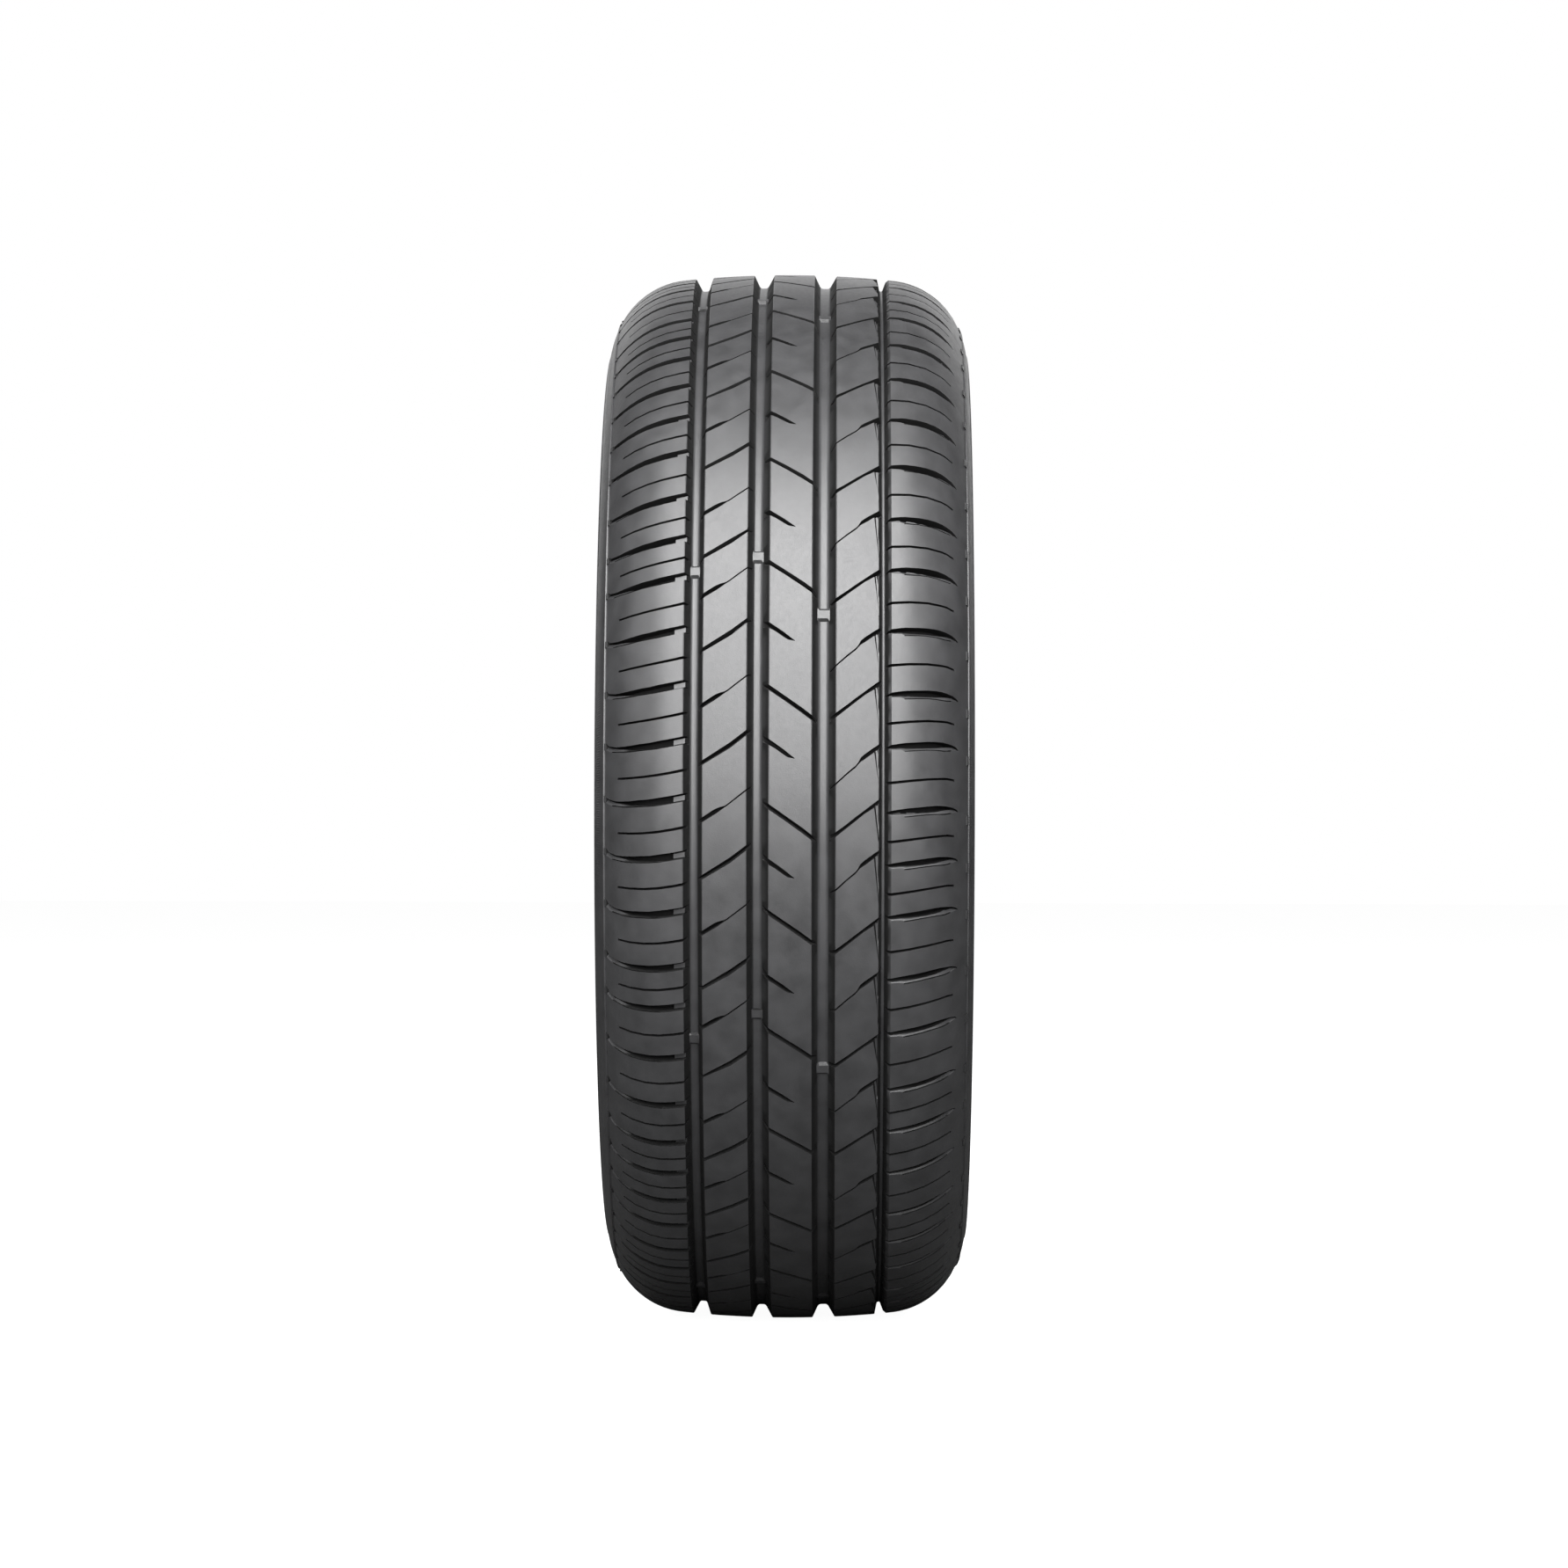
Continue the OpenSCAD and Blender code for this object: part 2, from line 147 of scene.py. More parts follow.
# Edges of the slots: offset, then way down the tread from the slot's place to the upper and the lower edge
RIB_2_FULL = ((-45.4, 11.4, 14.1), (-30.0, 1.45, 4.75), (-20.9, -5.5, -2.4))
RIB_2_HALF = (
    (-45.4, 11.2, 14.1), (-43.0, 9.6, 12.5), (-40.0, 7.6, 10.6), (-38.0, 6.4, 9.4), (-35.5, 5.4, 7.6),
    (-33.0, 4.75, 5.7), (-31.5, 3.8, 4.8), (-25.0, -1.35, -0.3), (-20.9, -4.55, -3.5))
RIB_3_FULL = ((-8.4, -5.6, -2.4), (0.0, 0.3, 3.3), (10.0, 7.3, 10.5), (15.4, 11.5, 14.6))
RIB_3_BLIND = (
    (-8.4, -4.8, -1.4), (-5.0, -2.4, 0.55), (0.0, 1.15, 4.15), (2.2, 2.95, 5.55), (4.5, 4.8, 5.95),
    (5.9, 5.85, 6.2))
RIB_4_HALF = (
    (28.9, -17.45, -16.25), (35.0, -23.05, -21.85), (40.0, -27.25, -26.05), (41.2, -28.8, -27.5),
    (42.7, -31.6, -29.2), (45.0, -33.6, -30.7), (50.0, -37.2, -34.4), (52.8, -39.1, -36.4))
RIB_4_WHOLE = (
    (28.9, -19.7, -17.0), (35.0, -24.2, -21.9), (40.0, -28.2, -25.9), (45.0, -32.0, -29.9),
    (50.0, -35.8, -33.1), (52.8, -37.9, -35.1))
LEFT_SLOT = (
    (-99.6, 0.9, 1.2), (-98.0, 1.4, 1.8), (-96.5, 1.9, 2.4), (-94.0, 2.6, 3.2), (-90.0, 2.6, 3.9),
    (-85.0, 2.3, 4.8), (-80.0, 1.7, 4.8), (-75.0, 1.3, 4.6), (-70.0, 0.4, 4.5), (-65.0, -0.4, 3.9),
    (-60.0, -1.3, 2.9), (-56.2, -2.1, 2.2))
LEFT_LEDGE = (
    (-99.9, 3.2), (-98.5, 4.4), (-96.0, 5.5), (-93.0, 5.8), (-89.0, 6.2), (-85.0, 6.2), (-80.0, 5.8),
    (-75.0, 5.5), (-69.0, 4.9), (-65.0, 4.2), (-60.0, 3.2), (-56.2, 2.5))
RIGHT_SLOT = (
    (58.3, -1.3, 0.0), (60.0, -1.85, -0.2), (65.0, -2.7, -0.6), (68.0, -3.1, -0.45), (75.0, -3.7, -0.45),
    (80.0, -4.2, -0.8), (85.0, -4.5, -1.2), (88.6, -4.35, -2.0), (91.0, -4.0, -2.35), (94.0, -3.3, -2.5),
    (96.0, -2.2, -1.8), (97.1, -1.0, -0.7))
RIGHT_LEDGE = (
    (58.3, 1.2), (60.0, 0.9), (64.6, 0.6), (67.0, 1.9), (70.0, 1.7), (75.0, 1.2), (80.0, 0.8),
    (85.0, 0.65), (90.0, 0.75), (93.0, 0.3), (95.0, -0.7), (97.1, -0.5))
LEFT_SIPE = ((-92.8, 4.4), (-86.0, 4.2), (-78.0, 3.6), (-70.0, 2.6), (-62.0, 1.2), (-56.2, 0.0))
RIGHT_SIPE = (
    (58.3, 0.4), (62.0, 0.0), (70.0, -0.9), (80.0, -1.9), (88.0, -2.35), (91.0, -2.4), (94.9, -1.7))

# Tabs that join the ridge at each shoulder slot: inner offset and way down to their ends, then the height,
# the run of their edges and the gap to the ridge
TABS = {-1: (-99.7, -0.9, 3.4), 1: (101.8, 1.9, 7.8)}
TAB_H = 0.6
TAB_RUN = 0.2
TAB_GAP = 0.12

# Fans of terraces at the right edge of rib 4: rim and foot of each step at the upper end, rim and foot
# at the lower end, and depth; then their edge in the groove, way down from the slot's upper edge, gap to
# the next slot, and run of the lower end
FAN = (
    (50.0, 51.05, 52.8, 53.3, 1.9), (51.45, 52.45, 53.25, 53.7, 3.4), (52.75, 53.5, 53.65, 54.05, 4.8))
FAN_INSIDE = 54.6
FAN_DROP = 1.4
FAN_GAP = 1.8
FAN_RUN = 1.0

# Wear bars: height, length, run of their ends, and way down the tread to the middle of those in view
BARS = 8
BAR_H = 1.6
BAR_LEN = 4.8
BAR_RUN = 1.6
BARS_SEEN = ((-384.0, -134.2, 144.2), (-395.0, -143.0, 126.9), (-360.0, -106.7, 163.1))

# Pitch sequences of the rows on each side, down from the first slot at the front: in view and behind
SEQUENCES = {
    -1: ("LSSMMMLMSLLLLLLLSLLMSSSMSS", "MLLMSSLMSLSSMLLLMSSMLSSSLLMMSSLLLMSSSLMLSMSM"),
    1: ("LLLLLMLLSLSSLMLSMLSML", "SMMLLSLMLLMSLSMMLLSLMLMSLLLMMSLLMSMLS"),
}
PITCHES = {-1: {"S": 24.4, "M": 28.16, "L": 32.1}, 1: {"S": 29.72, "M": 33.11, "L": 36.98}}
START = {-1: -378.66, 1: -349.71}

# Mesh grid: steps round the tyre, spacing across the ribs and the shoulders, closest way from a grid point
# to an outline, size of the cells in which outlines are looked up, and reach of repeats past the seam
STEPS_ROUND = 240
GRID_ACROSS = 6.0
GRID_SHOULDER = 4.5
SHOULDER_FROM = 60
SLIVER = 1.1
CELL = 4
SEAM_REACH = 4.0

# Distances under which flat points are one (mm), and vertices and edges of the mesh are (m)
SNAP = 1e-5
MERGE = 8e-6
DEGENERATE = 1e-6

# Edges are sharp from this angle, tops are flat within this depth, and painted shade darkens the walls from
# this depth down, over this run
SHARP = math.radians(32)
FLAT = 0.01
SHADE_FROM = 2.6
SHADE_RUN = 2.0

ROUND = 2 * math.pi * TYRE_R


# Section

def normal(a):
    return np.array([math.sin(math.radians(a)), math.cos(math.radians(a))])


SHOULDER_OUT = WALL_HALF - UPPER_R * (1 - normal(SHOULDER_SLOPE)[0])
CROWN_HALF = (SHOULDER_OUT - SHOULDER_R * normal(SHOULDER_SLOPE)[0]) / (1 - SHOULDER_R / CROWN_R)
CROWN_SLOPE = math.degrees(math.asin(CROWN_HALF / CROWN_R))
CROWN_C = np.array([0.0, TYRE_R - CROWN_R])
SHOULDER_C = CROWN_C + (CROWN_R - SHOULDER_R) * normal(CROWN_SLOPE)
SHOULDER_TOP = SHOULDER_C + SHOULDER_R * normal(SHOULDER_SLOPE)
UPPER_C = SHOULDER_TOP - UPPER_R * normal(SHOULDER_SLOPE)
FACE_TOP = SEAT_R + HEEL_R
S_TURN = math.degrees(2 * math.atan(BULGE / (UPPER_C[1] - FACE_TOP)))
LOWER_R = (UPPER_C[1] - FACE_TOP) / math.sin(math.radians(S_TURN)) - FLANGE_R
LOWER_C = np.array([WALL_HALF - LOWER_R, UPPER_C[1]])
FLANGE_C = np.array([BEAD_HALF + FLANGE_R, FACE_TOP])
HEEL_C = np.array([BEAD_HALF - HEEL_R, FACE_TOP])


def section_at(u):
    """Place on the tread line at the offset u on the right side, and the slope there."""
    v = abs(u)
    if v < CROWN_HALF:
        c, r = CROWN_C, CROWN_R
    elif v < SHOULDER_TOP[0]:
        c, r = SHOULDER_C, SHOULDER_R
    else:
        c, r = UPPER_C, UPPER_R
    slope = math.degrees(math.asin((v - c[0]) / r))
    return c + r * normal(slope), slope


def offset_at(slope):
    return UPPER_C[0] + UPPER_R * normal(slope)[0]


def arc(c, r, a, b, step):
    """Points of an arc about c between two slopes, with the slope at each."""
    n = max(1, round(abs(b - a) / step))
    return [(c + r * normal(t), t) for t in (a + (b - a) * i / n for i in range(n + 1))]


def thickness(a):
    """Thickness of the rubber behind the outer line at the slope a."""
    slopes = (0, CROWN_SLOPE, (CROWN_SLOPE + SHOULDER_SLOPE) / 2, *THIN_SLOPES, 90 + S_TURN)
    return float(np.interp(a, slopes, (CROWN_T, CROWN_T, SHOULDER_T, WALL_T, WALL_T, APEX_T)))


def ridges(side):
    """Rings that stand out of the sidewall: arc, slope, width and height."""
    return (("upper", RIDGE_SLOPE[side], 1.2, 0.6), ("upper", 84.0, 1.6, 0.5),
            ("lower", 90 + S_TURN - 12, 1.6, 0.6))


def ridge_points(c, r, a, w, h):
    """Points over a rounded ring at the slope a: shares of its half width and of its height."""
    turn = math.degrees(w / 2 / r)
    return [(c + (r + up * h) * normal(a + side * turn), a + side * turn)
            for side, up in ((-1.25, 0), (-0.75, 0.9), (0, 1.0), (0.75, 0.9), (1.25, 0))]


def wall_arc(name, side, c, r, a, b, step):
    """Arc of the sidewall with its ridges set in."""
    points = arc(c, r, a, b, step)
    first = points[0]
    for which, slope, w, h in ridges(side):
        if which == name:
            reach = math.degrees(w / r)
            points = [p for p in points if abs(p[1] - slope) > reach]
            points += ridge_points(c, r, slope, w, h)
    points.sort(key=lambda p: p[1])
    return points if points[0][1] == first[1] else [first] + points


def side_line(side):
    """Points from the tread's edge down the sidewall, round the bead and over the liner to the middle.

    The last number of each arc is the turn of one facet in degrees.
    """
    outer = wall_arc("upper", side, UPPER_C, UPPER_R, TREAD_END_SLOPE[side], 90, 3)[:-1]
    outer += wall_arc("lower", side, LOWER_C, LOWER_R, 90, 90 + S_TURN, 4)
    line = [p for p, _ in outer]
    line += [p for p, _ in arc(FLANGE_C, -FLANGE_R, 90 + S_TURN, 90, 10)[1:]]
    line += [p for p, _ in arc(HEEL_C, HEEL_R, 90, 180, 18)[1:]]
    toe = BEAD_HALF - BASE_W
    line += [np.array(p) for p in (
        (toe + TOE_BEVEL, SEAT_R), (toe, SEAT_R + TOE_BEVEL), (toe, SEAT_R + TOE_H))]
    inner = arc(LOWER_C, LOWER_R, 90 + S_TURN, 90, 9)[:-1]
    inner += arc(UPPER_C, UPPER_R, 90, SHOULDER_SLOPE, 9)[:-1]
    inner += arc(SHOULDER_C, SHOULDER_R, SHOULDER_SLOPE, CROWN_SLOPE, 10)[:-1]
    inner += arc(CROWN_C, CROWN_R, CROWN_SLOPE, 0, 3)
    return line + [p - thickness(a) * normal(a) for p, a in inner]


# Tread: outlines on the unrolled tread, u across and s down from the front

def slot_places(side):
    """Way along the tread to each slot, and one more for the first slot again.

    The pitches behind are stretched so that the row closes.
    """
    in_view, behind = SEQUENCES[side]
    seen = len(in_view)
    steps = np.array([PITCHES[side][c] for c in in_view + behind])
    steps[seen:] *= (ROUND - steps[:seen].sum()) / steps[seen:].sum()
    return START[side] + np.concatenate([[0], np.cumsum(steps)])


PLACES = {side: slot_places(side) for side in (-1, 1)}


def between(places, i):
    """Way along the tread at the place i of a row, which may lie between two slots."""
    n = len(places) - 1
    turns, k = divmod(int(math.floor(i)), n)
    part = i - math.floor(i)
    return places[k] * (1 - part) + places[k + 1] * part + turns * ROUND


def groove_line(groove):
    """Offsets and depths across a groove from edge to edge, with rounded edges and floor corners."""
    first, last, depth, run_in, run_out = groove
    corner = CORNER_SHARE * (last - first - run_in - run_out)

    def half(run):
        lower = 1 - corner / math.hypot(run, depth)
        edge = (EDGE_SHAPE[0] * run, EDGE_ROUND * EDGE_SHAPE[1])
        bend = (run + corner * CORNER_SHAPE[0], depth * CORNER_SHAPE[1])
        return [(-EDGE_ROUND, 0.0), edge, (lower * run, lower * depth), bend, (run + corner, depth)]

    left = [(first + u, d) for u, d in half(run_in)]
    right = [(last - u, d) for u, d in reversed(half(run_out))]
    if groove is GROOVES[3]:
        foot = (last - NARROW_SHAPE[0], NARROW_BEVEL * NARROW_SHAPE[1])
        right = right[:-2] + [foot, (last + NARROW_BEVEL, 0.0)]
    return left + right


def line_groove():
    at, half, depth = LINE_GROOVE
    return [(at - half, 0.0), (at, depth), (at + half, 0.0)]


GROOVE_LINES = [groove_line(g) for g in GROOVES] + [line_groove()]


def groove_depth(u):
    for line in GROOVE_LINES:
        if line[0][0] <= u <= line[-1][0]:
            return float(np.interp(u, [p[0] for p in line], [p[1] for p in line]))
    return 0.0


def into_groove(groove, side, depth):
    """Offset in a groove's wall, left or right of the groove, where the wall is as deep as a slot."""
    first, last, full, run_in, run_out = groove
    return last - run_out * depth / full if side > 0 else first + run_in * depth / full


def carried_on(row, before, u):
    """The straight line through two rows of a table, at the offset u."""
    return row + (row - before) * (u - row[0]) / (row[0] - before[0])


def lengthened(table, low, high):
    """The table with its first and last lines carried on straight to two offsets."""
    rows = [np.array(row, dtype=float) for row in table]
    if low is not None:
        rows.insert(0, carried_on(rows[0], rows[1], low))
    if high is not None:
        rows.append(carried_on(rows[-1], rows[-2], high))
    return np.array(rows)


class Cut:
    """A recess in the tread: outlines inside one another, each with its depth."""

    def __init__(self):
        self.rings = []

    def add(self, us, upper, lower, level):
        """Outline between an upper and a lower edge."""
        points = list(zip(us, upper)) + list(zip(us, lower))[::-1]
        self.rings.append((points, level))

    def at(self, s):
        """The outlines moved down the tread."""
        return [([(u, v + s) for u, v in points], level) for points, level in self.rings]


def drawn_in(us, low, high):
    """The offsets with closed ends moved in by low and high."""
    us = us.copy()
    us[0] += low
    us[-1] -= high
    return us


def outer_end_in(us, side, way):
    """The offsets of a shoulder slot with its outer end moved in."""
    return drawn_in(us, way, 0.0) if side < 0 else drawn_in(us, 0.0, way)


def rib_slot(table, low, high, steps, limits, end_draft=0.0):
    """Slot across a rib: each step gives the ways in from the upper and the lower edge and the depth there.

    The limits keep each way in under a share of the slot's width, so that narrow parts stay open.
    """
    rows = lengthened(table, low, high)
    upper, lower = rows[:, 1], rows[:, 2]
    cut = Cut()
    for k, ((a, b, level), limit) in enumerate(zip(steps, limits)):
        us = drawn_in(rows[:, 0], 0.0, end_draft * k)
        most = (lower - upper) * limit
        cut.add(us, upper + np.minimum(a, most), lower - np.minimum(b, most), level)
    return cut


def full_slot(table, low, high):
    """Slot with broad bevels down to a thin core in the middle of its widest part."""
    side = (max(row[2] - row[1] for row in table) - CORE_W * CORE_SLANT) / 2
    foot = side + CORE_DRAFT
    steps = ((0.0, 0.0, 0.0), (side, side, BEVEL_DEPTH), (foot, foot, SLOT_DEPTH))
    return rib_slot(table, low, high, steps, BEVEL_LIMITS)


def deep_slot(table, low, high, end_draft=0.0):
    """Slot with steep walls, the lower one with more draft."""
    return rib_slot(table, low, high, DEEP_STEPS, DEEP_LIMITS, end_draft)


def rib_rows():
    """Slots of the three ribs: the two kinds by turns, each with the side that its row follows."""
    g1, g2, g3, g4 = GROOVES
    left_2, right_2 = into_groove(g1, 1, SLOT_DEPTH), into_groove(g2, -1, SLOT_DEPTH)
    left_3, right_3 = into_groove(g2, 1, SLOT_DEPTH), into_groove(g3, -1, SLOT_DEPTH)
    left_4, right_4 = into_groove(g3, 1, SLOT_DEPTH), into_groove(g4, -1, SLOT_DEPTH)
    blind = deep_slot(RIB_3_BLIND, left_3, None, RIB_END_DRAFT)
    return (
        (-1, full_slot(RIB_2_FULL, left_2, right_2), deep_slot(RIB_2_HALF, left_2, right_2)),
        (1, full_slot(RIB_3_FULL, left_3, right_3), blind),
        (1, deep_slot(RIB_4_HALF, left_4, right_4), deep_slot(RIB_4_WHOLE, left_4, right_4)),
    )


def shoulder_slot(side):
    """Deep slot with a ledge under it, closed at its outer end."""
    groove = GROOVES[0] if side < 0 else GROOVES[3]
    inner = into_groove(groove, side, SLOT_DEPTH)
    table, ledge = (LEFT_SLOT, LEFT_LEDGE) if side < 0 else (RIGHT_SLOT, RIGHT_LEDGE)
    ends = (None, inner) if side < 0 else (inner, None)
    rows = lengthened(table, *ends)
    rim = lengthened(ledge, *ends)
    us, upper, lower = rows[:, 0], rows[:, 1], rows[:, 2]
    outer = np.maximum(np.interp(us, rim[:, 0], rim[:, 1]), lower + LEDGE_LEAST)
    cut = Cut()
    gap, ledge_w = lower - upper, outer - lower
    ways = [np.minimum(way, share * gap) for way, share in WALL_STEPS]
    lower_edges = (
        (outer, 0.0),
        (outer - np.minimum(LEDGE_RUN, LEDGE_RUN_LIMIT * ledge_w), LEDGE_STEP),
        (lower + LEDGE_FLOOR * ledge_w, LEDGE_DEPTH),
        (lower - ways[-1], SLOT_DEPTH))
    for k, (way, (edge, level)) in enumerate(zip(ways, lower_edges)):
        cut.add(outer_end_in(us, side, END_DRAFT * k), upper + way, edge, level)
    low, high = LINE_RANGE[side]
    line = rim[(rim[:, 0] >= low) & (rim[:, 0] <= high)]
    for k, (a, b, level) in enumerate(LINE_EDGES):
        us = drawn_in(line[:, 0], END_DRAFT * k, END_DRAFT * k)
        cut.add(us, line[:, 1] - a, line[:, 1] + b, level)
    if side < 0:
        add_tie(cut, rows)
    return cut


def add_tie(cut, rows):
    """Shallow bar that ties the shoulder blocks together along the lower side of the slot's mouth."""
    for grow, level in ((TIE_RIM, 0.0), (0.0, ("up", TIE_DEPTH))):
        us = np.array((-TIE_END - grow, *TIE_KNEES, into_groove(GROOVES[0], -1, TIE_DEPTH)))
        upper = np.interp(us, rows[:, 0], rows[:, 1]) + TIE_TOP_GAP - grow
        lower = np.interp(us, rows[:, 0], rows[:, 2]) - TIE_LOW_GAP + grow
        cut.add(us, upper, lower, level)


def shoulder_sipe(side):
    """Thin cut across the shoulder, closed at its outer end."""
    groove = GROOVES[0] if side < 0 else GROOVES[3]
    inner = into_groove(groove, side, SIPE_DEPTH)
    table, ends = (LEFT_SIPE, (None, inner)) if side < 0 else (RIGHT_SIPE, (inner, None))
    rows = lengthened(table, *ends)
    cut = Cut()
    share = (np.abs(rows[:, 0]) - abs(inner)) / (np.abs(rows[:, 0]).max() - abs(inner))
    for k, level in enumerate((0.0, SIPE_DEPTH)):
        w = SIPE_W[0] + (SIPE_W[1] - SIPE_W[0]) * share - SIPE_DRAFT * k
        us = outer_end_in(rows[:, 0], side, END_DRAFT * k)
        cut.add(us, rows[:, 1] - w / 2, rows[:, 1] + w / 2, level)
    return cut


def fan_outline(u_top, u_end, top, end):
    return [(u_top, top), (FAN_INSIDE, top), (FAN_INSIDE, end), (u_end, end)]


def fans():
    """Terraces from just under each slot of rib 4 down to the next slot."""
    places = PLACES[1]
    for i, s in enumerate(places[:-1]):
        table, after = (RIB_4_WHOLE, RIB_4_HALF) if i % 2 else (RIB_4_HALF, RIB_4_WHOLE)
        end = places[i + 1] + after[-1][1] - FAN_GAP
        for rim, foot, low_rim, low_foot, depth in FAN:
            top = s + float(np.interp(rim, [r[0] for r in table], [r[1] + FAN_DROP for r in table]))
            yield fan_outline(rim, low_rim, top, end), 0.0
            yield fan_outline(foot, low_foot, top, end - FAN_RUN), depth


def recesses():
    """Every outline on the tread with its depth; outlines of one recess follow one another."""
    for side, even, odd in rib_rows():
        for i, s in enumerate(PLACES[side][:-1]):
            yield from (odd if i % 2 else even).at(s)
    for side in (-1, 1):
        slot, sipe = shoulder_slot(side), shoulder_sipe(side)
        for i, s in enumerate(PLACES[side][:-1]):
            yield from slot.at(s)
            yield from sipe.at(between(PLACES[side], i + SIPE_SHARE[side]))
    yield from fans()


def box_outline(u0, u1, s0, s1, across=0.0, along=0.0):
    """Outline of a box on the tread that is grown across and along it."""
    u0, u1, s0, s1 = u0 - across, u1 + across, s0 - along, s1 + along
    return [(u0, s0), (u1, s0), (u1, s1), (u0, s1)]


def raised():
    """Wear bars and ridge tabs: the outline of the foot, then that of the top with its level."""
    for groove, seen in zip(GROOVES[:3], BARS_SEEN):
        level = groove[2] - BAR_H
        u0, u1 = into_groove(groove, -1, level), into_groove(groove, 1, level)
        unseen = BARS - len(seen)
        gap = (seen[0] + ROUND - seen[-1]) / (unseen + 1)
        for s in seen + tuple(seen[-1] + gap * (k + 1) for k in range(unseen)):
            bar = (u0, u1, s - BAR_LEN / 2, s + BAR_LEN / 2)
            yield box_outline(*bar, along=BAR_RUN), 0.0
            yield box_outline(*bar), ("up", level)
    for side, (inner, start, end) in TABS.items():
        outer = side * (offset_at(TREAD_END_SLOPE[side]) - TAB_GAP)
        for s in PLACES[side][:-1]:
            tab = (min(inner, outer), max(inner, outer), s + start, s + end)
            yield box_outline(*tab), 0.0
            yield box_outline(*tab, across=-TAB_RUN, along=-TAB_RUN), ("up", -TAB_H)


# Triangulation of the tread

class Sheet:
    """Points, edges and outlines for the flat triangulation of the unrolled tread."""

    def __init__(self):
        self.points, self.edges, self.faces = [], [], []
        self.levels = []

    def add(self, points):
        first = len(self.points)
        self.points += [Vector((float(p[0]), float(p[1]))) for p in points]
        return list(range(first, len(self.points)))

    def loop(self, points, level):
        """Closed outline, turned the same way as all the others."""
        ids = self.add(points)
        area = sum(p[0] * q[1] - q[0] * p[1] for p, q in zip(points[-1:] + points[:-1], points))
        self.faces.append(ids if area > 0 else ids[::-1])
        self.levels.append(level)

    def line(self, points):
        ids = self.add(points)
        self.edges += list(zip(ids, ids[1:]))


def copies(points):
    """The outline in the range of the tread, with copies where it crosses the seam."""
    low = min(p[1] for p in points)
    high = max(p[1] for p in points)
    for shift in (-ROUND, 0.0, ROUND, 2 * ROUND):
        if high + shift > -SEAM_REACH and low + shift < ROUND + SEAM_REACH:
            yield [(p[0], p[1] + shift) for p in points]


def tread_sheet():
    """Everything on the unrolled tread, and the offsets of its two ends."""
    sheet = Sheet()
    ends = [-offset_at(TREAD_END_SLOPE[-1]), offset_at(TREAD_END_SLOPE[1])]
    stops = [ROUND * k / STEPS_ROUND for k in range(STEPS_ROUND + 1)]
    rims = []
    for ring, level in recesses():
        for points in copies(ring):
            sheet.loop(points, level)
            if level == 0.0:
                rims.append(np.array(points))
    for ring, level in raised():
        for points in copies(ring):
            sheet.loop(points, level)
    for line in GROOVE_LINES:
        for u, _ in line:
            sheet.line([(u, s) for s in stops])
    for u in ends:
        sheet.line([(u, s) for s in stops])
    across = sorted(ends + [u for line in GROOVE_LINES for u, _ in line])
    for s in (0.0, ROUND):
        sheet.line([(u, s) for u in across])
    grid_points(sheet, stops, rims, ends)
    return sheet, ends


def cell_of(u, s):
    return int(u // CELL), int(s // CELL)


def edge_cells(rims):
    """The edges of the outlines, listed under each cell that they pass."""
    cells = {}
    for rim in rims:
        for k in range(len(rim)):
            p, q = rim[k - 1], rim[k]
            steps = max(1, int(np.linalg.norm(q - p) / (CELL / 2)))
            for j in range(steps + 1):
                x = p + (q - p) * j / steps
                cells.setdefault(cell_of(*x), []).append((p, q))
    return cells


def grid_points(sheet, stops, rims, ends):
    """Points that keep the tops round, where no outline is close by."""
    offsets = []
    lines = sorted(GROOVE_LINES)
    marks = [ends[0]] + [e for line in lines for e in (line[0][0], line[-1][0])] + [ends[1]]
    for a, b in zip(marks[::2], marks[1::2]):
        across = GRID_ACROSS if max(abs(a), abs(b)) < SHOULDER_FROM else GRID_SHOULDER
        n = max(1, round((b - a) / across))
        offsets += [a + (b - a) * i / n for i in range(1, n)]
    cells = edge_cells(rims)
    for u in offsets:
        for s in stops[:-1]:
            if s == 0.0 or clear_of(u, s, cells):
                sheet.add([(u, s)])
                if s == 0.0:
                    sheet.add([(u, ROUND)])


def clear_of(u, s, cells):
    """Whether no edge of an outline passes close by a point."""
    column, row = cell_of(u, s)
    point = np.array((u, s))
    for near in itertools.product((column - 1, column, column + 1), (row - 1, row, row + 1)):
        for p, q in cells.get(near, ()):
            way = q - p
            t = min(1.0, max(0.0, (point - p) @ way / max(way @ way, 1e-9)))
            if np.linalg.norm(point - p - t * way) < SLIVER:
                return False
    return True


def place_at(u, s, depth):
    """Place in the scene under the point (u, s) of the unrolled tread, and the outward normal there."""
    p, slope = section_at(u)
    side = -1 if u < 0 else 1
    out = normal(slope)
    v, r = p - out * depth
    turn = s / ROUND * 2 * math.pi
    place = (r * math.cos(turn) * MM, side * v * MM, -r * math.sin(turn) * MM)
    return place, (out[1] * math.cos(turn), side * out[0], -out[1] * math.sin(turn))


